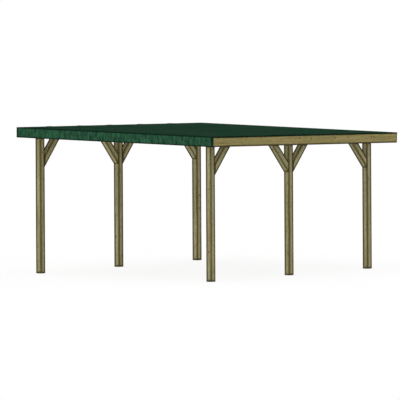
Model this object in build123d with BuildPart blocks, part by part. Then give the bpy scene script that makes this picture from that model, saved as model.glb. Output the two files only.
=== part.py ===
from build123d import *
import os
from math import ceil, cos, radians, sin, tan

# Open timber carport: two rows of posts carry sloping beams, notched rafters and a boarded felt roof.
# +Z is up, the front faces -Y, and the origin is on the ground under the middle of the roof.

# Layout of the posts and the roof
roof_width = 4460.0
bay_length = 2120.0
side_overhang = 295.0
front_overhang = 280.0
back_overhang = 485.0
front_height = 2555.0
roof_pitch = 2.2

# Posts, knee braces and beams
post_width = 115.0
brace_angle = 49.0
front_brace_drop = 510.0
middle_brace_drop = 487.0
back_brace_drop = 440.0
beam_height = 100.0
beam_nose_inset = 12.0
timber_arris = 4.0

# Rafters
rafter_width = 60.0
rafter_depth = 100.0
rafter_spacing_limit = 720.0
seat_depth = 40.0
seat_clearance = 1.0

# Deck and edge boards
deck_thickness = 16.0
edge_board_height = 176.0
edge_board_thickness = 28.0
edge_board_arris = 3.0

# Roll felt, laid level in lapped strips and turned down over the side and back boards
felt_thickness = 4.0
felt_roll_width = 1000.0
felt_lap = 100.0
felt_ramp = 20.0
felt_turndown = 18.0

# Shingles on the front board: an uncut starter strip and two courses of tabs
shingle_thickness = 3.0
shingle_exposure = 88.0
shingle_tab_width = 279.0
tab_slot_width = 10.0
tab_slot_height = 80.0

# Sizes that follow from those above: posts, braces and beams are of one stock width
brace_depth = post_width
brace_thickness = post_width
beam_width = post_width
pitch = radians(roof_pitch)
row_spacing = roof_width - 2 * side_overhang
roof_run = front_overhang + 2 * bay_length + back_overhang
roof_length = roof_run / cos(pitch)
clear_width = roof_width - 2 * (felt_thickness + edge_board_thickness)
tab_count = round(roof_width / shingle_tab_width)
tab_pitch = roof_width / tab_count

# Levels, measured square to the roof, down from the top of the felt
deck_top = felt_thickness
rafter_top = deck_top + deck_thickness
rafter_bottom = rafter_top + rafter_depth
beam_top = rafter_bottom - seat_depth
beam_bottom = beam_top + beam_height
board_bottom = deck_top + edge_board_height

# The shingles lean with the roof, so the foot of one of the two courses is the foremost line of all
lower_foot_reach = board_bottom * sin(pitch) - shingle_thickness * cos(pitch)
upper_foot_reach = (board_bottom - shingle_exposure) * sin(pitch)
front_edge_y = -(roof_run - max(lower_foot_reach, upper_foot_reach)) / 2
roof = Plane(
    origin=(0, front_edge_y, front_height),
    x_dir=(1, 0, 0),
    z_dir=(0, sin(pitch), cos(pitch)),
)
soffit = roof.offset(-beam_bottom)
slope_section = Plane(origin=roof.origin, x_dir=roof.y_dir, z_dir=roof.x_dir)

# Stations down the slope, measured from the roof's front edge
board_front = 3 * shingle_thickness
frame_front = board_front + edge_board_thickness
board_back = roof_length - felt_thickness
frame_back = board_back - edge_board_thickness

row_places = {"left": -row_spacing / 2, "right": row_spacing / 2}
front_post_y = front_edge_y + front_overhang
post_places = {
    "front": front_post_y,
    "middle": front_post_y + bay_length,
    "back": front_post_y + 2 * bay_length,
}

os.makedirs("parts", exist_ok=True)


def soffit_height(y):
    return soffit.origin.Z - (y - soffit.origin.Y) * tan(pitch)


def soffit_station(y):
    return (y - soffit.origin.Y) / cos(pitch)


def finish(piece, name):
    piece.part.label = name
    export_step(piece.part, f"parts/{name}.step")


def make_post(name, x, y):
    with BuildPart() as post:
        with BuildSketch():
            with Locations((x, y)):
                Rectangle(post_width, post_width)
        extrude(amount=front_height)
        chamfer(post.edges().filter_by(Axis.Z), timber_arris)
        split(bisect_by=soffit, keep=Keep.BOTTOM)
    finish(post, name)


def make_brace(name, x, post_y, toward, drop):
    # A straight bar from the post's face up to the beam, cut to fit both
    face_y = post_y + toward * post_width / 2
    reach = drop / (tan(radians(brace_angle)) + toward * tan(pitch))
    head_y = face_y + toward * reach
    foot = Vector(x, face_y, soffit_height(face_y) - drop)
    head = Vector(x, head_y, soffit_height(head_y))
    run = head - foot
    bar = Plane(origin=foot, x_dir=run, z_dir=(toward, 0, 0))
    post_face = Plane(origin=foot, x_dir=(1, 0, 0), z_dir=(0, toward, 0))
    with BuildPart() as brace:
        with BuildSketch(bar):
            with Locations((run.length / 2, brace_depth / 2)):
                Rectangle(run.length + 2 * brace_depth, brace_depth)
        extrude(amount=brace_thickness / 2, both=True)
        chamfer(brace.edges().filter_by(lambda edge: edge.length > run.length), timber_arris)
        split(bisect_by=post_face, keep=Keep.TOP)
        split(bisect_by=soffit, keep=Keep.BOTTOM)
    finish(brace, name)


def make_beam(name, x):
    # The underside rises past the end posts, so that both ends stay behind the edge boards
    nose_level = board_bottom - beam_nose_inset
    front_rise = soffit_station(post_places["front"] - post_width / 2)
    back_rise = soffit_station(post_places["back"] + post_width / 2)
    with BuildPart() as beam:
        with BuildSketch(slope_section.offset(x)):
            with BuildLine():
                Polyline(
                    (frame_front, -beam_top),
                    (frame_back, -beam_top),
                    (frame_back, -nose_level),
                    (back_rise, -beam_bottom),
                    (front_rise, -beam_bottom),
                    (frame_front, -nose_level),
                    close=True,
                )
            make_face()
        extrude(amount=beam_width / 2, both=True)
        long_edges = beam.edges().filter_by(lambda edge: edge.length > bay_length)
        chamfer(long_edges.sort_by(Axis.Z)[:2], timber_arris)
    finish(beam, name)


def make_rafter(name, station):
    # Notched over both beams, and as long as the clear width between the side boards
    cross_section = Plane(
        origin=roof.from_local_coords((0, station, 0)),
        x_dir=roof.x_dir,
        z_dir=-roof.y_dir,
    )
    with BuildPart() as rafter:
        with BuildSketch(cross_section):
            with Locations((0, -(rafter_top + rafter_bottom) / 2)):
                Rectangle(clear_width, rafter_depth)
            with Locations(*[(x, -rafter_bottom) for x in row_places.values()]):
                Rectangle(beam_width + 2 * seat_clearance, 2 * seat_depth, mode=Mode.SUBTRACT)
        extrude(amount=rafter_width / 2, both=True)
    finish(rafter, name)


def make_slab(name, x, width, station_start, station_end, top, bottom, arris=0):
    # A board or deck that lies square to the roof between two levels
    with BuildPart() as slab:
        with BuildSketch(roof.offset(-bottom)):
            with Locations((x, (station_start + station_end) / 2)):
                Rectangle(width, station_end - station_start)
        extrude(amount=bottom - top)
        if arris > 0:
            foot = slab.faces().filter_by(roof).sort_by(Axis.Z)[0]
            chamfer(foot.edges().sort_by(SortBy.LENGTH)[-2:], arris)
    finish(slab, name)


def make_felt_strip(name, start, end, lower_start):
    # The strip lies on the deck, and its low edge climbs over the head of the strip below
    with BuildPart() as strip:
        with BuildSketch(slope_section):
            with BuildLine():
                if lower_start is None:
                    Polyline(
                        (start, -felt_thickness),
                        (end, -felt_thickness),
                        (end, 0),
                        (start, 0),
                        close=True,
                    )
                else:
                    Polyline(
                        (start, -felt_thickness),
                        (lower_start - felt_ramp, -felt_thickness),
                        (lower_start, 0),
                        (end, 0),
                        (end, felt_thickness),
                        (lower_start, felt_thickness),
                        (lower_start - felt_ramp, 0),
                        (start, 0),
                        close=True,
                    )
            make_face()
        extrude(amount=roof_width / 2, both=True)
    finish(strip, name)


def make_shingle_course(name, layer, top, bottom, slot_places):
    # A sheet on the front board, slit from its low edge into tabs
    face = Plane(
        origin=roof.from_local_coords((0, board_front - layer * shingle_thickness, 0)),
        x_dir=roof.x_dir,
        z_dir=-roof.y_dir,
    )
    with BuildPart() as course:
        with BuildSketch(face):
            with Locations((0, -(top + bottom) / 2)):
                Rectangle(roof_width, bottom - top)
            if slot_places:
                with Locations(*[(x, -bottom) for x in slot_places]):
                    Rectangle(tab_slot_width, 2 * tab_slot_height, mode=Mode.SUBTRACT)
        extrude(amount=shingle_thickness)
    finish(course, name)


# Posts, with a brace on each side that faces another post of the same row
for row, x in row_places.items():
    for place, y in post_places.items():
        make_post(f"post_{place}_{row}", x, y)
    make_brace(f"brace_front_{row}", x, post_places["front"], 1, front_brace_drop)
    make_brace(f"brace_middle_front_{row}", x, post_places["middle"], -1, middle_brace_drop)
    make_brace(f"brace_middle_back_{row}", x, post_places["middle"], 1, middle_brace_drop)
    make_brace(f"brace_back_{row}", x, post_places["back"], -1, back_brace_drop)
    make_beam(f"beam_{row}", x)

# Rafters at even spacing, the end ones against the front and back boards
first_rafter = frame_front + rafter_width / 2
last_rafter = frame_back - rafter_width / 2
rafter_gaps = ceil((last_rafter - first_rafter) / rafter_spacing_limit)
rafter_spacing = (last_rafter - first_rafter) / rafter_gaps
for index in range(rafter_gaps + 1):
    make_rafter(f"rafter_{index + 1}", first_rafter + index * rafter_spacing)

# Deck between the edge boards, which stand level with its top
make_slab("roof_deck", 0, clear_width, frame_front, frame_back, deck_top, rafter_top)
side_board_x = (clear_width + edge_board_thickness) / 2
side_board = (edge_board_thickness, board_front, board_back, deck_top, board_bottom, edge_board_arris)
make_slab("side_board_left", -side_board_x, *side_board)
make_slab("side_board_right", side_board_x, *side_board)
make_slab("front_board", 0, clear_width, board_front, frame_front, deck_top, board_bottom)
make_slab("back_board", 0, clear_width, frame_back, board_back, deck_top, board_bottom, edge_board_arris)

# Felt turned down over the top of the bare boards
turndown_x = (roof_width - felt_thickness) / 2
turndown_bottom = deck_top + felt_turndown
side_turndown = (felt_thickness, board_front, roof_length, deck_top, turndown_bottom)
make_slab("felt_turndown_left", -turndown_x, *side_turndown)
make_slab("felt_turndown_right", turndown_x, *side_turndown)
back_turndown_width = roof_width - 2 * felt_thickness
make_slab("felt_turndown_back", 0, back_turndown_width, board_back, roof_length, deck_top, turndown_bottom)

# Felt strips of one width, laid from the low back edge up to the front
strip_count = ceil((roof_length - felt_lap) / (felt_roll_width - felt_lap))
strip_width = (roof_length + (strip_count - 1) * felt_lap) / strip_count
for index in range(strip_count):
    strip_end = roof_length - index * (strip_width - felt_lap)
    strip_start = strip_end - strip_width
    lower_start = None if index == 0 else strip_end - felt_lap
    make_felt_strip(f"felt_strip_{index + 1}", strip_start, strip_end, lower_start)

# Front shingles: the tabs of the upper course stand over the slots of the lower one
lower_slots = [-roof_width / 2 + index * tab_pitch for index in range(1, tab_count)]
upper_slots = [x + tab_pitch / 2 for x in [-roof_width / 2, *lower_slots]]
make_shingle_course("shingle_starter", 0, deck_top, board_bottom, [])
make_shingle_course("shingle_course_lower", 1, deck_top, board_bottom, lower_slots)
make_shingle_course("shingle_course_upper", 2, deck_top, board_bottom - shingle_exposure, upper_slots)
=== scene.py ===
import math
import random

import bmesh
import bpy
from mathutils import Matrix, Vector


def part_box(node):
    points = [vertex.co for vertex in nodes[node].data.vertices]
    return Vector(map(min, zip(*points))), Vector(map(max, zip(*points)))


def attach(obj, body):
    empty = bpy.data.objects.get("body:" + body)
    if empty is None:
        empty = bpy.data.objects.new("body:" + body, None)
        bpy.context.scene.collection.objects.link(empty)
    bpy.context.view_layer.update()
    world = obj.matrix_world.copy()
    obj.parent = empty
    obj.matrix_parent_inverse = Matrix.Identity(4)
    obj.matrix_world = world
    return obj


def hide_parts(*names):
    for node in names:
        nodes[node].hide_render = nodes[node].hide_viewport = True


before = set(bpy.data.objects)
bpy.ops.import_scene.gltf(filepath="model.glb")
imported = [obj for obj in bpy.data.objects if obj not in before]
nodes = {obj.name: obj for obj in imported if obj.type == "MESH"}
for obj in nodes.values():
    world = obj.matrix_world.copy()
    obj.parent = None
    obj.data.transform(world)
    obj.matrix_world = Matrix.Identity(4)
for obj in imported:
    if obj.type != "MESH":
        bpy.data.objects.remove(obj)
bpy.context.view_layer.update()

dice = random.Random(11)    # one seed for every random draw
millimetre = 0.001
acrossRoof = Vector((1, 0, 0))
upright = Vector((0, 0, 1))

for leftover in ("Cube", "Light", "Camera"):
    if leftover in bpy.data.objects:
        bpy.data.objects.remove(bpy.data.objects[leftover])


# The roof's own axes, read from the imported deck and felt

def nodesNamed(start):
    return sorted(name for name in nodes if name.startswith(start))


def roofAxes():
    deckTop = max(nodes["roof_deck"].data.polygons, key=lambda face: face.area * face.normal.z)
    up = deckTop.normal.normalized()
    down = up.cross(acrossRoof).normalized()
    corners = [vertex.co for name in nodesNamed("felt_strip") for vertex in nodes[name].data.vertices]
    edge = min(co.dot(down) for co in corners)
    top = max(co.dot(up) for co in corners if co.dot(down) - edge < millimetre)
    return up, down, down * edge + up * top


roofUp, roofDown, roofEdge = roofAxes()


def onRoof(x, station, level):
    # station runs down the slope from the front edge, level is the depth below the felt's top
    return roofEdge + acrossRoof * x + roofDown * station - roofUp * level


def stationOf(point):
    return (point - roofEdge).dot(roofDown)


def levelOf(point):
    return (roofEdge - point).dot(roofUp)


def sideOf(point):
    return point.x


def nodeSpan(name, measure):
    values = [measure(vertex.co) for vertex in nodes[name].data.vertices]
    return min(values), max(values)


roofHalfWidth = nodeSpan("felt_strip_1", sideOf)[1]
roofLength = nodeSpan("felt_strip_1", stationOf)[1]
print("roof: half width %.3f m, slope length %.3f m" % (roofHalfWidth, roofLength))


# Small helpers for shader nodes

def srgb(red, green, blue):
    # a screen colour, 0 to 255, as the linear light that shaders work in
    def toLinear(value):
        share = value / 255
        return share / 12.92 if share <= 0.04045 else ((share + 0.055) / 1.055) ** 2.4
    return (toLinear(red), toLinear(green), toLinear(blue), 1.0)


def addNode(tree, kind, inputs=None, **settings):
    node = tree.nodes.new(kind)
    for key, value in settings.items():
        setattr(node, key, value)
    for key, value in (inputs or {}).items():
        if isinstance(value, bpy.types.NodeSocket):
            tree.links.new(value, node.inputs[key])
        else:
            node.inputs[key].default_value = value
    return node


def calc(tree, operation, first, second=0.0):
    return addNode(tree, "ShaderNodeMath", {0: first, 1: second}, operation=operation).outputs[0]


def times(tree, first, second):
    return calc(tree, "MULTIPLY", first, second)


def remap(tree, value, span, share=1.0):
    # a smooth step, from 0 at the span's start to the share at its end
    inputs = {"Value": value, "From Min": span[0], "From Max": span[1], "To Max": share}
    return addNode(tree, "ShaderNodeMapRange", inputs, interpolation_type="SMOOTHSTEP").outputs[0]


def blendColour(tree, share, first, second):
    # sockets 6, 7 and 2 are the two colours and the result
    return addNode(tree, "ShaderNodeMix", {0: share, 6: first, 7: second}, data_type="RGBA").outputs[2]


def stretched(tree, vector, scale):
    return addNode(tree, "ShaderNodeMapping", {"Vector": vector, "Scale": scale}).outputs[0]


def noise(tree, vector, detail, roughness, scale=1.0):
    inputs = {"Vector": vector, "Scale": scale, "Detail": detail, "Roughness": roughness}
    return addNode(tree, "ShaderNodeTexNoise", inputs).outputs["Fac"]


def stored(tree, name, output="Fac"):
    # what the mesh keeps under this name at each of its points
    return addNode(tree, "ShaderNodeAttribute", attribute_name=name).outputs[output]


def objectPlace(tree):
    return addNode(tree, "ShaderNodeTexCoord").outputs["Object"]


def raggedEdge(tree, edge, wobble, depth):
    # moves the inner line of an edge stain in and out, by a noise that averages a half
    return calc(tree, "ADD", edge, times(tree, calc(tree, "SUBTRACT", wobble, 0.5), depth))


def newMaterial(name, look):
    material = bpy.data.materials.new(name)
    material.use_nodes = True
    tree = material.node_tree
    tree.nodes.clear()
    output = addNode(tree, "ShaderNodeOutputMaterial")
    shader = addNode(tree, "ShaderNodeBsdfPrincipled")
    shader.inputs["Roughness"].default_value = look["roughness"]
    shader.inputs["Specular IOR Level"].default_value = look["specular"]
    tree.links.new(shader.outputs[0], output.inputs[0])
    return material, tree, shader


def setBump(tree, shader, height, look):
    inputs = {"Height": height, "Strength": look["bumpStrength"], "Distance": look["bumpDepth"]}
    bump = addNode(tree, "ShaderNodeBump", inputs)
    tree.links.new(bump.outputs[0], shader.inputs["Normal"])


# Pressure-treated pine: rings, streaks, knots and drying checks along the grain, stained arrises

# in every look, a span is where a pattern fades in and a share is how strongly it colours
frameTimber = dict(
    light=srgb(163, 157, 120), dark=srgb(125, 119, 84), green=srgb(130, 129, 90), knot=srgb(82, 62, 36),
    arris=srgb(68, 58, 14), arrisShare=0.90, corner=srgb(34, 29, 10), ringWidth=0.0085, ringShare=0.45,
    streaks=(34, 34, 1.1), fibres=(260, 260, 7), patches=(4, 4, 0.8), knotLimit=0.84,
    fleck=srgb(84, 76, 40), flecks=(60, 60, 16), fleckShare=0.55,
)
boardTimber = dict(
    light=srgb(156, 142, 92), dark=srgb(118, 107, 64), green=srgb(124, 119, 72), knot=srgb(88, 64, 34),
    arris=srgb(62, 54, 22), arrisShare=0.90, corner=srgb(34, 28, 10), ringWidth=0.0115, ringShare=0.45,
    streaks=(46, 46, 0.9), fibres=(240, 240, 6), patches=(5, 5, 1.1), knotLimit=0.86,
    fleck=srgb(90, 78, 40), flecks=(60, 60, 14), fleckShare=0.45,
)
roofTimber = dict(
    light=srgb(180, 164, 119), dark=srgb(138, 120, 79), green=srgb(152, 145, 102), knot=srgb(98, 70, 40),
    arris=srgb(96, 84, 50), arrisShare=0.7, corner=srgb(70, 58, 32), ringWidth=0.0100, ringShare=0.4,
    streaks=(40, 40, 1.0), fibres=(240, 240, 6), patches=(6, 6, 1.2), knotLimit=0.74,
    fleck=srgb(120, 102, 62), flecks=(60, 60, 12), fleckShare=0.4,
)
sawnGrain = dict(
    roughness=0.78, specular=0.2, bumpStrength=0.25, bumpDepth=0.0008, fibreRelief=0.6,
    streakSpan=(0.3, 0.7), patchSpan=(0.42, 0.72), patchShare=0.7, fleckSpan=(0.50, 0.66),
    knotsAround=0.64, knotsAlong=8.0, knotSpan=(0.15, 0.09), knotShare=0.7,
    barkSpan=(0.05, 0.11), barkShare=0.5, swellSpan=(0.45, 0.0),
    ringWander=0.030, ringBulge=0.012, ringSharpness=2.2,
    checks=(70, 70, 0.9), checkSpan=(0.66, 0.71), checkShare=0.6,
    slivers=(90, 90, 2.2), raggedness=0.7, stainSpan=(0.10, 0.38), coreSpan=(0.52, 0.80), coreShare=0.8,
)


def knotPattern(tree, axes, limit):
    # knots are branches that run out from the pith, so they are laid out by angle and length
    turn = calc(tree, "ARCTAN2", axes.outputs[1], axes.outputs[0])
    around = times(tree, turn, sawnGrain["knotsAround"])
    lengthwise = times(tree, axes.outputs[2], sawnGrain["knotsAlong"])
    whorl = addNode(tree, "ShaderNodeCombineXYZ", {0: around, 1: lengthwise}).outputs[0]
    cells = addNode(tree, "ShaderNodeTexVoronoi", {"Vector": whorl, "Scale": 1.0}, voronoi_dimensions="2D")
    lot = addNode(tree, "ShaderNodeSeparateColor", {0: cells.outputs["Color"]}).outputs[0]
    chosen = calc(tree, "GREATER_THAN", lot, limit)
    distance = cells.outputs["Distance"]
    knot = times(tree, remap(tree, distance, sawnGrain["knotSpan"]), chosen)
    bark = times(tree, knot, remap(tree, distance, sawnGrain["barkSpan"], sawnGrain["barkShare"]))
    swell = times(tree, remap(tree, distance, sawnGrain["swellSpan"]), chosen)
    return knot, bark, swell


def growthRings(tree, axes, patch, swell, ringWidth):
    # rings round the pith, wandering along the length and bulging past the knots
    squares = calc(tree, "ADD", times(tree, axes.outputs[0], axes.outputs[0]),
                   times(tree, axes.outputs[1], axes.outputs[1]))
    wander = times(tree, patch, sawnGrain["ringWander"])
    bulge = times(tree, swell, sawnGrain["ringBulge"])
    radius = calc(tree, "ADD", calc(tree, "ADD", calc(tree, "SQRT", squares), wander), bulge)
    acrossRing = calc(tree, "FRACT", calc(tree, "DIVIDE", radius, ringWidth))
    return calc(tree, "POWER", acrossRing, sawnGrain["ringSharpness"])


def timberMaterial(name, look):
    material, tree, shader = newMaterial(name, sawnGrain)
    grain = stored(tree, "grain", "Vector")
    axes = addNode(tree, "ShaderNodeSeparateXYZ", {0: grain})
    streak = noise(tree, stretched(tree, grain, look["streaks"]), detail=4, roughness=0.6)
    fibre = noise(tree, stretched(tree, grain, look["fibres"]), detail=2, roughness=0.5)
    patch = noise(tree, stretched(tree, grain, look["patches"]), detail=2, roughness=0.5)
    knot, bark, swell = knotPattern(tree, axes, look["knotLimit"])
    ring = growthRings(tree, axes, patch, swell, look["ringWidth"])

    tint = blendColour(tree, remap(tree, streak, sawnGrain["streakSpan"]), look["light"], look["dark"])
    green = remap(tree, patch, sawnGrain["patchSpan"], sawnGrain["patchShare"])
    tint = blendColour(tree, green, tint, look["green"])
    tint = blendColour(tree, times(tree, ring, look["ringShare"]), tint, look["dark"])
    tint = blendColour(tree, stored(tree, "tone"), tint, look["dark"])
    tint = blendColour(tree, times(tree, knot, sawnGrain["knotShare"]), tint, look["knot"])
    tint = blendColour(tree, bark, tint, look["corner"])

    # short dark flecks left by the saw and the treatment
    fleck = noise(tree, stretched(tree, grain, look["flecks"]), detail=3, roughness=0.6)
    fleckShare = remap(tree, fleck, sawnGrain["fleckSpan"], look["fleckShare"])
    tint = blendColour(tree, fleckShare, tint, look["fleck"])

    # thin checks that open along the grain
    crack = noise(tree, stretched(tree, grain, sawnGrain["checks"]), detail=1, roughness=0.4)
    check = remap(tree, crack, sawnGrain["checkSpan"])
    tint = blendColour(tree, times(tree, check, sawnGrain["checkShare"]), tint, look["knot"])

    # damp and handling darken the corners, with a ragged inner line
    sliver = noise(tree, stretched(tree, grain, sawnGrain["slivers"]), detail=3, roughness=0.6)
    edge = raggedEdge(tree, stored(tree, "arris"), sliver, sawnGrain["raggedness"])
    stain = remap(tree, edge, sawnGrain["stainSpan"], look["arrisShare"])
    tint = blendColour(tree, stain, tint, look["arris"])
    core = remap(tree, edge, sawnGrain["coreSpan"], sawnGrain["coreShare"])
    tint = blendColour(tree, core, tint, look["corner"])
    tree.links.new(tint, shader.inputs["Base Color"])

    relief = calc(tree, "ADD", times(tree, fibre, sawnGrain["fibreRelief"]), ring)
    setBump(tree, shader, calc(tree, "SUBTRACT", relief, check), sawnGrain)
    return material


postFinish = timberMaterial("treatedPostTimber", frameTimber)
boardFinish = timberMaterial("treatedBoardTimber", boardTimber)
roofFinish = timberMaterial("treatedRoofTimber", roofTimber)
print("timber finishes ready")


# Helpers for meshes

def addPiece(name, bm, material, slot, *replaced):
    mesh = bpy.data.meshes.new(name)
    bmesh.ops.recalc_face_normals(bm, faces=bm.faces)
    bm.to_mesh(mesh)
    bm.free()
    mesh.materials.append(material)
    piece = bpy.data.objects.new(name, mesh)
    bpy.context.scene.collection.objects.link(piece)
    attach(piece, "root")
    if replaced:
        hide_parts(*replaced)


def joinRings(bm, rings):
    # skins a row of closed rings and caps both ends
    for near, far in zip(rings, rings[1:]):
        for a in range(len(near)):
            b = (a + 1) % len(near)
            bm.faces.new((near[a], near[b], far[b], far[a]))
    bm.faces.new(rings[0])
    bm.faces.new(rings[-1])


def sewGrids(bm, grids):
    # closes two matching grids of points into one thin slab
    upper, lower = grids
    rows, columns = len(upper), len(upper[0])
    for grid in grids:
        for r in range(rows - 1):
            for c in range(columns - 1):
                bm.faces.new((grid[r][c], grid[r][c + 1], grid[r + 1][c + 1], grid[r + 1][c]))
    for r in range(rows - 1):
        for c in (0, columns - 1):
            bm.faces.new((upper[r][c], upper[r + 1][c], lower[r + 1][c], lower[r][c]))
    for c in range(columns - 1):
        for r in (0, rows - 1):
            bm.faces.new((upper[r][c], upper[r][c + 1], lower[r][c + 1], lower[r][c]))


# Each timber keeps its CAD shape, with a band let in along every edge for the stained arris

timberCut = dict(mergeGap=0.00002, flatAngle=0.6, bandShare=0.38, slantReach=0.050,
                 pithOffset=0.03, boardPith=(0.05, 0.10), grainRun=40, toneSpread=0.25)
cornerWear = dict(postFoot=0.045, braceFoot=0.040, stained=0.5,
                  paleCorner=0.47, postCorner=1.0, braceCorner=1.35)
arrisBands = dict(post=0.042, brace=0.043, beam=0.024, rafter=0.012, board=0.032)


def timberMesh(name, band):
    bm = bmesh.new()
    bm.from_mesh(nodes[name].data)
    bmesh.ops.remove_doubles(bm, verts=bm.verts, dist=timberCut["mergeGap"])
    flatAngle = math.radians(timberCut["flatAngle"])
    bmesh.ops.dissolve_limit(bm, angle_limit=flatAngle, verts=bm.verts, edges=bm.edges)
    arris = bm.verts.layers.float.new("arris")
    for vertex in bm.verts:
        vertex[arris] = 1.0
    for face in list(bm.faces):
        width = face.calc_area() / max(edge.calc_length() for edge in face.edges)
        if width < 2 * band * timberCut["bandShare"]:
            continue
        letIn = min(band, width * timberCut["bandShare"])
        bmesh.ops.inset_individual(bm, faces=[face], thickness=letIn, depth=0, use_even_offset=True)
        for vertex in face.verts:
            vertex[arris] = 0.0
    return bm


def grainFrame(along):
    # two directions square to the grain, then the grain itself
    helper = acrossRoof if abs(along.x) < abs(along.y) + abs(along.z) else Vector((0, 1, 0))
    side = along.cross(helper).normalized()
    return side.cross(along).normalized(), side, along.normalized()


def pithShift(thin):
    # squared timber is cut round its pith, thin boards are cut beside it
    shift = Vector((dice.uniform(-1, 1), dice.uniform(-1, 1), 0)) * timberCut["pithOffset"]
    if thin:
        shift.x = dice.choice((-1, 1)) * dice.uniform(*timberCut["boardPith"])
    shift.z = dice.uniform(0, timberCut["grainRun"])
    return shift


def storeGrain(bm, along, centre, thin):
    grain = bm.verts.layers.float_vector.new("grain")
    tone = bm.verts.layers.float.new("tone")
    first, second, length = grainFrame(along)
    shift = pithShift(thin)
    shade = dice.uniform(0, timberCut["toneSpread"])
    for vertex in bm.verts:
        offset = vertex.co - centre
        vertex[grain] = Vector((offset.dot(first), offset.dot(second), offset.dot(length))) + shift
        vertex[tone] = shade


def cutFoot(bm, spot, inward):
    # a ring of points a little way in from a foot: the points beyond it keep the foot's dark stain
    cut = bm.verts[:] + bm.edges[:] + bm.faces[:]
    bmesh.ops.bisect_plane(bm, geom=cut, plane_co=spot, plane_no=inward)
    return {vertex for vertex in bm.verts if (vertex.co - spot).dot(inward) < -millimetre}


def postFoot(bm):
    return cutFoot(bm, upright * cornerWear["postFoot"], upright)


def braceFoot(bm, along):
    # the foot of a brace is its end on the post
    rise = along if along.z > 0 else -along
    inward = Vector((0, math.copysign(1, rise.y), 0))
    end = min(vertex.co.dot(inward) for vertex in bm.verts)
    return cutFoot(bm, inward * (end + cornerWear["braceFoot"]), inward)


def wearCorners(bm, along, foot, darkCorner):
    # two opposite corners of a squared timber take less stain, down to its foot
    arris = bm.verts.layers.float["arris"]
    backward = along.cross(acrossRoof)
    if backward.y < 0:
        backward.negate()
    sides = [vertex.co.x for vertex in bm.verts]
    depths = [vertex.co.dot(backward) for vertex in bm.verts]
    middle, halfway = (min(sides) + max(sides)) / 2, (min(depths) + max(depths)) / 2
    for vertex in bm.verts:
        if vertex[arris] > cornerWear["stained"] and vertex not in foot:
            worn = (vertex.co.x - middle) * (vertex.co.dot(backward) - halfway) < 0
            vertex[arris] = cornerWear["paleCorner"] if worn else darkCorner


def dressTimber(node, along, material, slot, band):
    low, high = (Vector(corner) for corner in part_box(node))
    bm = timberMesh(node, band)
    if node.startswith("post_"):
        wearCorners(bm, along, postFoot(bm), cornerWear["postCorner"])
    if node.startswith("brace_"):
        wearCorners(bm, along, braceFoot(bm, along), cornerWear["braceCorner"])
    storeGrain(bm, along, (low + high) / 2, "board" in node)
    addPiece("timber_" + node, bm, material, slot, node)


def braceDirection(node):
    # along the longest slanting edge of the brace
    mesh = nodes[node].data
    ends = [[mesh.vertices[index].co for index in edge.vertices] for edge in mesh.edges]
    spans = [start - end for start, end in ends if abs(start.x - end.x) < millimetre]
    slanting = [span for span in spans if min(abs(span.y), abs(span.z)) > timberCut["slantReach"]]
    return max(slanting, key=lambda span: span.length).normalized()


for node in sorted(nodes):
    if node.startswith("post_"):
        dressTimber(node, upright, postFinish, "frame_timber", arrisBands["post"])
    elif node.startswith("brace_"):
        dressTimber(node, braceDirection(node), postFinish, "frame_timber", arrisBands["brace"])
    elif node.startswith("beam_"):
        dressTimber(node, roofDown, postFinish, "frame_timber", arrisBands["beam"])
    elif node.startswith("rafter_"):
        dressTimber(node, acrossRoof, roofFinish, "roof_timber", arrisBands["rafter"])
    elif node.startswith("side_board"):
        dressTimber(node, roofDown, boardFinish, "edge_board_timber", arrisBands["board"])
    elif node in ("front_board", "back_board"):
        dressTimber(node, acrossRoof, boardFinish, "edge_board_timber", arrisBands["board"])
print("frame and edge boards dressed")


# Tongue and groove roof boards, laid down the slope, with a V at each joint below

deckBoards = dict(cover=0.115, vJoint=0.005, band=0.008, gap=0.0006, toneSpread=0.6)


def buildDeck():
    front, back = nodeSpan("roof_deck", stationOf)
    top, bottom = nodeSpan("roof_deck", levelOf)
    left, right = nodeSpan("roof_deck", sideOf)
    count = round((right - left) / deckBoards["cover"])
    width = (right - left) / count
    bm = bmesh.new()
    arris = bm.verts.layers.float.new("arris")
    grain = bm.verts.layers.float_vector.new("grain")
    tone = bm.verts.layers.float.new("tone")
    cut = deckBoards["vJoint"]
    inset = cut + deckBoards["band"]
    for index in range(count):
        start = left + index * width + deckBoards["gap"] / 2
        end = left + (index + 1) * width - deckBoards["gap"] / 2
        # across each board: the place, the level and whether the arris stain is there
        outline = [
            (start, top, 0), (end, top, 0), (end, bottom - cut, 1), (end - cut, bottom, 1),
            (end - inset, bottom, 0), (start + inset, bottom, 0), (start + cut, bottom, 1),
            (start, bottom - cut, 1),
        ]
        shift = pithShift(True)
        shade = dice.uniform(0, deckBoards["toneSpread"])
        rings = []
        for station in (front, back):
            ring = []
            for x, level, stain in outline:
                vertex = bm.verts.new(onRoof(x, station, level))
                vertex[arris] = stain
                vertex[tone] = shade
                vertex[grain] = Vector((level, x - (start + end) / 2, station)) + shift
                ring.append(vertex)
            rings.append(ring)
        joinRings(bm, rings)
    addPiece("roof_boards", bm, roofFinish, "roof_timber", "roof_deck")
    print("roof boards:", count)


buildDeck()


# Dark green mineral felt on the roof, brighter green shingle on the front

granuleLook = dict(scale=330, bumpStrength=0.5, bumpDepth=0.0015)


def granules(tree, shader, place):
    # stone chips a few millimetres across, each with its own shade
    chips = addNode(tree, "ShaderNodeTexVoronoi", {"Vector": place, "Scale": granuleLook["scale"]})
    setBump(tree, shader, chips.outputs["Distance"], granuleLook)
    return addNode(tree, "ShaderNodeSeparateColor", {0: chips.outputs["Color"]}).outputs[0]


def scatterChips(tree, tint, shade, look):
    # the higher a chip's shade, the darker it is
    tint = blendColour(tree, times(tree, shade, look["darkChips"]), tint, look["deep"])
    paleness = calc(tree, "SUBTRACT", 1.0, shade)
    return blendColour(tree, times(tree, paleness, look["paleChips"]), tint, look["chip"])


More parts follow.
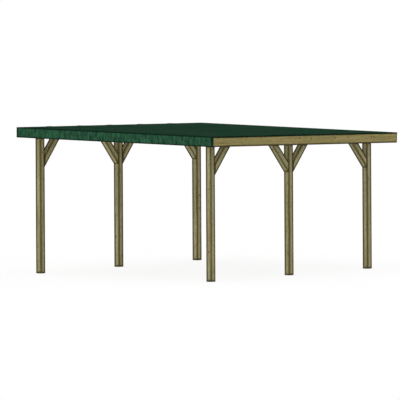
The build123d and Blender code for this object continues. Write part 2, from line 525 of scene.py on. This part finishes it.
feltLook = dict(
    base=srgb(27, 56, 39), pale=srgb(33, 64, 46), deep=srgb(17, 43, 28), chip=srgb(60, 92, 73),
    weathered=srgb(46, 61, 52), rim=srgb(8, 24, 15), roughness=0.95, specular=0.0, toneSpread=0.3,
    mottleScale=7, mottleSpan=(0.25, 0.75),
    drifts=(1.2, 3.0, 1.0), driftSpan=(0.4, 0.75), driftShare=0.45,
    weatherScale=1.6, weatherSpan=(0.42, 0.62), weatherShare=0.7,
    washes=(7, 0.6, 1), washSpan=(0.48, 0.68), washShare=0.6, darkChips=0.55, paleChips=0.12,
    rimWidth=0.12, rimSpan=(0.30, 1.0), rimStain=0.92, raggedness=0.9,
)


def feltMaterial(name, look):
    material, tree, shader = newMaterial(name, look)
    place = objectPlace(tree)
    mottle = noise(tree, place, detail=6, roughness=0.7, scale=look["mottleScale"])
    tint = blendColour(tree, remap(tree, mottle, look["mottleSpan"]), look["base"], look["pale"])
    drift = noise(tree, stretched(tree, place, look["drifts"]), detail=4, roughness=0.6)
    driftShare = remap(tree, drift, look["driftSpan"], look["driftShare"])
    tint = blendColour(tree, driftShare, tint, look["deep"])

    # greyer where it weathers, with darker runs washed down the slope
    weather = noise(tree, place, detail=6, roughness=0.72, scale=look["weatherScale"])
    greyShare = remap(tree, weather, look["weatherSpan"], look["weatherShare"])
    tint = blendColour(tree, greyShare, tint, look["weathered"])
    wash = noise(tree, stretched(tree, place, look["washes"]), detail=4, roughness=0.6)
    tint = blendColour(tree, remap(tree, wash, look["washSpan"], look["washShare"]), tint, look["deep"])
    tint = blendColour(tree, stored(tree, "tone"), tint, look["deep"])
    tint = scatterChips(tree, tint, granules(tree, shader, place), look)

    # the edges stay damp longest
    edge = raggedEdge(tree, stored(tree, "arris"), mottle, look["raggedness"])
    tint = blendColour(tree, remap(tree, edge, look["rimSpan"], look["rimStain"]), tint, look["rim"])
    tree.links.new(tint, shader.inputs["Base Color"])
    return material


shingleLook = dict(
    base=srgb(32, 71, 48), pale=srgb(44, 94, 66), deep=srgb(11, 36, 23), chip=srgb(76, 118, 92),
    # seam is the colour of the painted shade in and beside the slots and of the darker edge bands
    slotShadeAndDarkEdge=srgb(5, 20, 12), slotShadeAndDarkEdgeShare=0.9, roughness=0.92, specular=0.05,
    mottles=(20, 20, 13), mottleSpan=(0.3, 0.7), mottleShare=0.7,
    stripes=(18, 18, 6.0), paleSpan=(0.50, 0.38), paleShare=0.95, deepSpan=(0.50, 0.60), deepShare=0.7,
    darkChips=0.45, paleChips=0.16,
)


def shingleMaterial(name, look):
    material, tree, shader = newMaterial(name, look)
    place = objectPlace(tree)
    tint = blendColour(tree, stored(tree, "tone"), look["deep"], look["pale"])
    mottle = noise(tree, stretched(tree, place, look["mottles"]), detail=6, roughness=0.72)
    mottleShare = remap(tree, mottle, look["mottleSpan"], look["mottleShare"])
    tint = blendColour(tree, mottleShare, tint, look["base"])
    stripe = noise(tree, stretched(tree, place, look["stripes"]), detail=5, roughness=0.68)
    tint = blendColour(tree, remap(tree, stripe, look["paleSpan"], look["paleShare"]), tint, look["pale"])
    tint = blendColour(tree, remap(tree, stripe, look["deepSpan"], look["deepShare"]), tint, look["deep"])
    tint = scatterChips(tree, tint, granules(tree, shader, place), look)
    # the arris value darkens towards the seam colour: painted shade in and beside the slots, and darker
    # bands at the course's top, foot and ends
    tint = blendColour(tree, times(tree, stored(tree, "arris"), look["slotShadeAndDarkEdgeShare"]), tint, look["slotShadeAndDarkEdge"])
    tree.links.new(tint, shader.inputs["Base Color"])
    return material


bitumenLook = dict(hollow=srgb(4, 20, 12), lump=srgb(10, 36, 23), lumpScale=60,
                   roughness=0.75, specular=0.08, bumpStrength=0.4, bumpDepth=0.001)


def bitumenMaterial(name, look):
    material, tree, shader = newMaterial(name, look)
    lumps = noise(tree, objectPlace(tree), detail=3, roughness=0.6, scale=look["lumpScale"])
    tree.links.new(blendColour(tree, lumps, look["hollow"], look["lump"]), shader.inputs["Base Color"])
    setBump(tree, shader, lumps, look)
    return material


steelLook = dict(roughness=0.5, specular=0.5, metallic=0.85, blotchScale=300, blotchSpan=(0.35, 0.65))
screwColours = dict(pale=srgb(150, 140, 104), dull=srgb(112, 102, 72))
nailColours = dict(pale=srgb(78, 88, 82), dull=srgb(50, 60, 54))


def steelMaterial(name, look, colours):
    material, tree, shader = newMaterial(name, look)
    shader.inputs["Metallic"].default_value = look["metallic"]
    blotch = noise(tree, objectPlace(tree), detail=3, roughness=0.6, scale=look["blotchScale"])
    tint = blendColour(tree, remap(tree, blotch, look["blotchSpan"]), colours["pale"], colours["dull"])
    tree.links.new(tint, shader.inputs["Base Color"])
    return material


feltFinish = feltMaterial("greenRoofFelt", feltLook)
shingleFinish = shingleMaterial("greenFrontShingle", shingleLook)
bitumenFinish = bitumenMaterial("lapBitumen", bitumenLook)
screwFinish = steelMaterial("zincScrew", steelLook, screwColours)
nailFinish = steelMaterial("galvanisedNail", steelLook, nailColours)
print("felt, shingle, bitumen and steel finishes ready")


# Roll felt: each strip follows its CAD lap, a little uneven, with bitumen pressed out at the laps

feltLay = dict(segments=90, rows=8, ramp=0.020, thickness=0.004, sag=0.0008, ragged=0.003)
lapBead = dict(width=(0.006, 0.018), height=0.0030, crownWidth=0.5, crownHeight=0.8)


def rimShare(x, station):
    # 1 at the roof's edge, 0 once well inside it
    inward = min(roofHalfWidth - abs(x), station, roofLength - station)
    return max(0.0, 1 - inward / feltLook["rimWidth"])


def feltProfile(start, end, lowerStart):
    # stations and levels down a strip, which climbs over the head of any strip below it
    rows = feltLay["rows"]
    flatEnd = end if lowerStart is None else lowerStart - feltLay["ramp"]
    profile = [(start + (flatEnd - start) * row / rows, 0) for row in range(rows + 1)]
    if lowerStart is not None:
        profile += [(lowerStart, -feltLay["thickness"]), (end, -feltLay["thickness"])]
    return profile


def feltGrids(bm, profile, across):
    # the upper and lower skins of a strip, the upper one a little sunken here and there
    rim = bm.verts.layers.float.new("arris")
    tone = bm.verts.layers.float.new("tone")
    shade = dice.uniform(0, feltLook["toneSpread"])
    grids = []
    for skin in (0, 1):
        grid = []
        for row, (station, level) in enumerate(profile):
            line = []
            for x in across:
                inner = 0 < row < len(profile) - 1 and abs(x) < roofHalfWidth - millimetre
                sag = dice.uniform(0, feltLay["sag"]) if inner and skin == 0 else 0
                vertex = bm.verts.new(onRoof(x, station, level + sag + skin * feltLay["thickness"]))
                vertex[rim] = rimShare(x, station)
                vertex[tone] = shade
                line.append(vertex)
            grid.append(line)
        grids.append(grid)
    return grids


def addBead(bm, across, station):
    height = lapBead["height"]
    rings = []
    for x in across:
        width = dice.uniform(*lapBead["width"])
        outline = [(-feltLay["ragged"], 0), (-feltLay["ragged"], height),
                   (width * lapBead["crownWidth"], height * lapBead["crownHeight"]), (width, 0)]
        rings.append([bm.verts.new(onRoof(x, station + reach, -rise)) for reach, rise in outline])
    joinRings(bm, rings)


def buildFelt():
    names = nodesNamed("felt_strip")
    step = 2 * roofHalfWidth / feltLay["segments"]
    across = [-roofHalfWidth + index * step for index in range(feltLay["segments"] + 1)]
    beads = bmesh.new()
    lowerStart = None
    for name in names:    # the first strip is the lowest
        start, end = nodeSpan(name, stationOf)
        bm = bmesh.new()
        grids = feltGrids(bm, feltProfile(start, end, lowerStart), across)
        if lowerStart is not None:
            for column in range(len(across)):
                back = dice.uniform(0, feltLay["ragged"])
                for grid in grids:
                    grid[-1][column].co -= roofDown * back
            addBead(beads, across, end)
        sewGrids(bm, grids)
        addPiece("laid_" + name, bm, feltFinish, "roof_felt", name)
        lowerStart = start
    addPiece("felt_lap_bitumen", beads, bitumenFinish, "roof_felt")
    print("felt strips laid:", len(names))


buildFelt()


# Small fixings: domed heads on a face, set by a point and the face's outward direction

screwHead = dict(radius=0.0048, height=0.0010, recess=0.0019, sides=12)
nailHead = dict(radius=0.0055, height=0.0010, recess=0.0, sides=10)
headShape = dict(sunk=0.0004, shoulderRadius=0.97, shoulderHeight=0.5, crownRadius=0.7,
                 recessFoot=0.85, recessFloor=0.1)    # all but sunk are shares of the head's own sizes


def headProfile(head):
    radius, height, recess = head["radius"], head["height"], head["recess"]
    profile = [(radius, -headShape["sunk"]),
               (radius * headShape["shoulderRadius"], height * headShape["shoulderHeight"]),
               (radius * headShape["crownRadius"], height)]
    if recess:
        profile += [(recess, height),
                    (recess * headShape["recessFoot"], height * headShape["recessFloor"])]
    return profile


def addHeads(bm, places, head):
    for point, outward in places:
        first, second, outward = grainFrame(outward)
        rings = []
        for radius, height in headProfile(head):
            ring = []
            for side in range(head["sides"]):
                turn = 2 * math.pi * side / head["sides"]
                spoke = first * math.cos(turn) + second * math.sin(turn)
                ring.append(bm.verts.new(point + spoke * radius + outward * height))
            rings.append(ring)
        joinRings(bm, rings)


# Felt turned down over the boards, tacked with clout nails

turndown = dict(relief=0.0012, ragged=0.004, segment=0.05,
                nailSpacing=0.13, nailDrop=0.010, nailJitter=0.001)
turndownSides = dict(left=-acrossRoof, right=acrossRoof, back=roofDown)


def turndownEdges(name, side):
    # where the outer and inner skins start, across the roof and down it, and how far both run
    front, back = nodeSpan(name, stationOf)
    left, right = nodeSpan(name, sideOf)
    if side == "back":
        return (left, back - turndown["relief"]), (left, front), (right - left, 0)
    if side == "left":
        return (left + turndown["relief"], front), (right, front), (0, back - front)
    return (right - turndown["relief"], front), (left, front), (0, back - front)


def buildTurndowns():
    nails = bmesh.new()
    nailCount = 0
    for side, outward in turndownSides.items():
        name = "felt_turndown_" + side
        top, bottom = nodeSpan(name, levelOf)
        outer, inner, run = turndownEdges(name, side)
        length = max(run)
        bm = bmesh.new()
        rim = bm.verts.layers.float.new("arris")
        count = round(length / turndown["segment"])
        grids = [[], []]
        for index in range(count + 1):
            share = index / count
            low = bottom - dice.uniform(0, turndown["ragged"])
            for grid, start in zip(grids, (outer, inner)):
                place = [begin + reach * share for begin, reach in zip(start, run)]
                line = [bm.verts.new(onRoof(*place, level)) for level in (top, low)]
                for vertex in line:
                    vertex[rim] = 1.0
                grid.append(line)
        sewGrids(bm, grids)
        addPiece("laid_" + name, bm, feltFinish, "roof_felt", name)

        places = []
        for index in range(int(length / turndown["nailSpacing"])):
            share = (index + 0.5) * turndown["nailSpacing"] / length
            jitter = dice.uniform(-turndown["nailJitter"], turndown["nailJitter"])
            place = [begin + reach * share for begin, reach in zip(outer, run)]
            places.append((onRoof(*place, top + turndown["nailDrop"] + jitter), outward))
        addHeads(nails, places, nailHead)
        nailCount += len(places)
    addPiece("felt_nails", nails, nailFinish, None)
    print("felt turned down, nails:", nailCount)


buildTurndowns()


# Screws through the side boards into the rafter ends, along the back board and at both ends of each brace

screwing = dict(boardLevels=(0.050, 0.105), backCount=9, braceEnd=0.085, braceSide=0.030)


def boardScrews():
    places = []
    for name in nodesNamed("rafter_"):
        station = sum(nodeSpan(name, stationOf)) / 2
        for x, outward in ((nodeSpan("side_board_left", sideOf)[0], -acrossRoof),
                           (nodeSpan("side_board_right", sideOf)[1], acrossRoof)):
            for level in screwing["boardLevels"]:
                places.append((onRoof(x, station, level), outward))
    back = nodeSpan("back_board", stationOf)[1]
    left, right = nodeSpan("back_board", sideOf)
    for index in range(screwing["backCount"]):
        x = left + (index + 0.5) * (right - left) / screwing["backCount"]
        for level in screwing["boardLevels"]:
            places.append((onRoof(x, back, level), roofDown))
    return places


def braceScrews(name):
    # on the lower face of the brace, a pair near each end
    along = braceDirection(name)
    under = acrossRoof.cross(along).normalized()
    if under.z > 0:
        under = -under
    points = [vertex.co for vertex in nodes[name].data.vertices]
    depth = max(point.dot(under) for point in points)
    lowFace = [point.dot(along) for point in points if depth - point.dot(under) < millimetre]
    middle = sum(point.x for point in points) / len(points)
    places = []
    for reach in (min(lowFace) + screwing["braceEnd"], max(lowFace) - screwing["braceEnd"]):
        for side in (-1, 1):
            spot = along * reach + under * depth
            spot.x = middle + side * screwing["braceSide"]
            places.append((spot, under))
    return places


def buildScrews():
    places = boardScrews()
    for name in nodesNamed("brace_"):
        places += braceScrews(name)
    bm = bmesh.new()
    addHeads(bm, places, screwHead)
    addPiece("timber_screws", bm, screwFinish, None)
    print("screws:", len(places))


buildScrews()


# Front shingles: a starter strip and two courses of tabs

# the slot and slot-side values paint shade into the tab slots and beside each slot
shingles = dict(tabs=16, slot=0.010, slotHeight=0.080, band=0.009, headBand=0.014, footBand=0.028,
                endBand=0.050, endShare=0.6, toneMiddle=0.5, toneSpread=0.22,
                footStain=0.95, slotSideShade=0.5, slotShade=0.8)


def slotShadeAndEdgeRows(name):
    # levels down a course and how dark it is there: its head shows only through the slots over it, so the
    # starter and the lower course's head carry painted slot shade; the foot and the upper course's head
    # are darker bands
    top, bottom = nodeSpan(name, levelOf)
    slotTop = bottom - shingles["slotHeight"]
    covered = nodeSpan("shingle_course_upper", levelOf)[1]
    inSlot, foot, low = shingles["slotShade"], shingles["footStain"], bottom - shingles["footBand"]
    if name == "shingle_starter":
        return [(top, inSlot), (bottom, inSlot)], bottom
    if name == "shingle_course_upper":
        return [(top, 1), (slotTop, 1), (slotTop + shingles["headBand"], 0), (bottom, 0)], slotTop
    head = [(top, inSlot), (covered - millimetre, inSlot), (covered, 0)]
    return head + [(slotTop, 0), (low, 0), ((low + bottom) / 2, foot), (bottom, foot)], slotTop


def tabColumns(shifted):
    # places across a course: how dark the head and the tab are there, with painted shade beside each slot
    # and darker ends, the tab's tone and its number
    count = shingles["tabs"] + shifted
    tabWidth = 2 * roofHalfWidth / shingles["tabs"]
    half = shingles["slot"] / 2
    inside = half + shingles["band"]
    fadedEnd = roofHalfWidth - shingles["endBand"]
    darkEnd = roofHalfWidth - shingles["endBand"] * shingles["endShare"]
    plain, beside, dark = (0, 0), (0, shingles["slotSideShade"]), (1, 1)
    columns = []
    for tab in range(count):
        left = -roofHalfWidth + (tab - shifted / 2) * tabWidth
        right = left + tabWidth
        places = [(left + half, beside), (left + inside, plain),
                  (right - inside, plain), (right - half, beside)]
        if tab == 0:
            places[:2] = [(-roofHalfWidth, dark), (-darkEnd, dark), (-fadedEnd, plain)]
        if tab == count - 1:
            places[-2:] = [(fadedEnd, plain), (darkEnd, dark), (roofHalfWidth, dark)]
        shade = shingles["toneMiddle"] + dice.uniform(-1, 1) * shingles["toneSpread"]
        columns += [(x, columnDarkness, shade, tab) for x, columnDarkness in places]
    return columns


def thicken(bm, depth):
    # a second skin behind the sheet, and walls round its open edges
    sheet = bm.faces[:]
    openEdges = [edge.verts[:] for edge in bm.edges if edge.is_boundary]
    rear = {vertex: bm.verts.new(vertex.co + depth, vertex) for vertex in bm.verts[:]}
    for face in sheet:
        bm.faces.new([rear[vertex] for vertex in face.verts])
    for start, end in openEdges:
        bm.faces.new((start, end, rear[end], rear[start]))


def buildCourse(name, shifted):
    # one sheet, slit between its tabs and then given its thickness
    front, back = nodeSpan(name, stationOf)
    rows, slotTop = slotShadeAndEdgeRows(name)
    columns = tabColumns(shifted)
    bm = bmesh.new()
    tone = bm.verts.layers.float.new("tone")
    arris = bm.verts.layers.float.new("arris")
    lines = []
    for level, rowDarkness in rows:
        line = []
        for x, columnDarkness, shade, tab in columns:
            vertex = bm.verts.new(onRoof(x, front, level))
            vertex[tone] = shade
            # the arris value holds the painted shade in and beside the slots, and the darker edges of the
            # course
            vertex[arris] = max(rowDarkness, columnDarkness[level >= slotTop])
            line.append(vertex)
        lines.append(line)
    tabs = [tab for x, columnDarkness, shade, tab in columns]
    for r, (level, rowDarkness) in enumerate(rows[:-1]):
        for c in range(len(columns) - 1):
            inSlot = tabs[c] != tabs[c + 1] and level >= slotTop
            if not inSlot:
                bm.faces.new((lines[r][c], lines[r][c + 1], lines[r + 1][c + 1], lines[r + 1][c]))
    thicken(bm, roofDown * (back - front))
    addPiece("front_" + name, bm, shingleFinish, "front_shingle", name)


buildCourse("shingle_starter", shifted=0)
buildCourse("shingle_course_lower", shifted=0)
buildCourse("shingle_course_upper", shifted=1)
print("front shingles laid")


# Plain studio: pale floor, even sky, two low soft lamps without shadows and one above that casts them

studio = dict(floorSize=400.0, floorColour=(0.97, 0.97, 0.97, 1), white=(1, 1, 1, 1),
              skyStrength=0.78, seenStrength=1.0, floorGlow=0.88, floorLift=0.45)
# degrees: the bearing seen from above, the tilt of the light and how far it spreads
lamps = dict(
    keyLamp=dict(bearing=5, tilt=-9, spread=20, strength=0.95, shadow=False),
    fillLamp=dict(bearing=80, tilt=-9, spread=20, strength=0.4, shadow=False),
    topLamp=dict(bearing=0, tilt=-85, spread=40, strength=0.6, shadow=True),
)


def seenRays(tree):
    # 1 for what the camera sees, straight or by reflection or refraction, 0 for light on the object
    rays = addNode(tree, "ShaderNodeLightPath")
    seen = calc(tree, "MAXIMUM", rays.outputs["Is Camera Ray"], rays.outputs["Is Glossy Ray"])
    return calc(tree, "MAXIMUM", seen, rays.outputs["Is Transmission Ray"])


def glowNode(tree, kind, strength):
    return addNode(tree, kind, {"Color": studio["white"], "Strength": strength}).outputs[0]


def mixShaders(tree, share, first, second):
    return addNode(tree, "ShaderNodeMixShader", {0: share, 1: first, 2: second}).outputs[0]


def buildSky():
    world = bpy.data.worlds.new("studioSky")
    bpy.context.scene.world = world
    world.use_nodes = True
    tree = world.node_tree
    tree.nodes.clear()
    lightSky = glowNode(tree, "ShaderNodeBackground", studio["skyStrength"])
    seenSky = glowNode(tree, "ShaderNodeBackground", studio["seenStrength"])
    addNode(tree, "ShaderNodeOutputWorld", {0: mixShaders(tree, seenRays(tree), lightSky, seenSky)})


def paperMaterial(name):
    # matte paper with some glow of its own, and clear from below
    paper = bpy.data.materials.new(name)
    paper.use_nodes = True
    tree = paper.node_tree
    tree.nodes.clear()
    share = calc(tree, "MAXIMUM", times(tree, seenRays(tree), studio["floorGlow"]), studio["floorLift"])
    matte = addNode(tree, "ShaderNodeBsdfDiffuse", {"Color": studio["floorColour"]}).outputs[0]
    glow = glowNode(tree, "ShaderNodeEmission", studio["seenStrength"])
    below = addNode(tree, "ShaderNodeNewGeometry").outputs["Backfacing"]
    clear = addNode(tree, "ShaderNodeBsdfTransparent").outputs[0]
    surface = mixShaders(tree, below, mixShaders(tree, share, matte, glow), clear)
    addNode(tree, "ShaderNodeOutputMaterial", {0: surface})
    return paper


def buildFloor():
    half = studio["floorSize"] / 2
    corners = [(-half, -half, 0), (half, -half, 0), (half, half, 0), (-half, half, 0)]
    mesh = bpy.data.meshes.new("studioFloor")
    mesh.from_pydata(corners, [], [(0, 1, 2, 3)])
    mesh.materials.append(paperMaterial("studioPaper"))
    floor = bpy.data.objects.new("studioFloor", mesh)
    bpy.context.scene.collection.objects.link(floor)


def addSun(name, bearing, tilt, spread, strength, shadow):
    lamp = bpy.data.lights.new(name, "SUN")
    lamp.energy = strength
    lamp.angle = math.radians(spread)
    lamp.use_shadow = shadow
    turn, rise = math.radians(bearing), math.radians(tilt)
    heading = Vector((-math.sin(turn) * math.cos(rise), math.cos(turn) * math.cos(rise), math.sin(rise)))
    lampObject = bpy.data.objects.new(name, lamp)
    lampObject.rotation_mode = "QUATERNION"
    lampObject.rotation_quaternion = heading.to_track_quat("-Z", "Y")
    bpy.context.scene.collection.objects.link(lampObject)


bpy.context.scene.view_settings.view_transform = "Standard"
buildSky()
buildFloor()
for name, settings in lamps.items():
    addSun(name, **settings)


# The photograph is a parallel view, so the camera is orthographic

photo = dict(size=400, pixelsPerMetre=57.4, azimuth=40.0, elevation=3.785, roll=0.33,
             footPost="post_front_right", footPixel=(210.96, 281.7), distance=30.0, clipEnd=500.0)


def placeCamera():
    azimuth, elevation, roll = (math.radians(photo[key]) for key in ("azimuth", "elevation", "roll"))
    right = Vector((math.cos(azimuth), math.sin(azimuth), 0))
    back = Vector((math.sin(azimuth) * math.cos(elevation), -math.cos(azimuth) * math.cos(elevation),
                   math.sin(elevation)))
    up = back.cross(right)
    turnedRight = right * math.cos(roll) - up * math.sin(roll)
    turnedUp = up * math.cos(roll) + right * math.sin(roll)

    # the middle of the post's foot falls on its pixel in the photograph
    low, high = (Vector(corner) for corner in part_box(photo["footPost"]))
    foot = Vector(((low.x + high.x) / 2, (low.y + high.y) / 2, 0))
    middle = photo["size"] / 2
    shiftRight = (middle - photo["footPixel"][0]) / photo["pixelsPerMetre"]
    shiftUp = (photo["footPixel"][1] - middle) / photo["pixelsPerMetre"]
    target = foot + turnedRight * shiftRight + turnedUp * shiftUp

    lens = bpy.data.cameras.new("photoCamera")
    lens.type = "ORTHO"
    lens.ortho_scale = photo["size"] / photo["pixelsPerMetre"]
    lens.clip_end = photo["clipEnd"]
    camera = bpy.data.objects.new("photoCamera", lens)
    pose = Matrix((turnedRight, turnedUp, back)).transposed().to_4x4()
    pose.translation = target + back * photo["distance"]
    camera.matrix_world = pose
    bpy.context.scene.collection.objects.link(camera)
    bpy.context.scene.camera = camera


placeCamera()
print("studio and camera set")
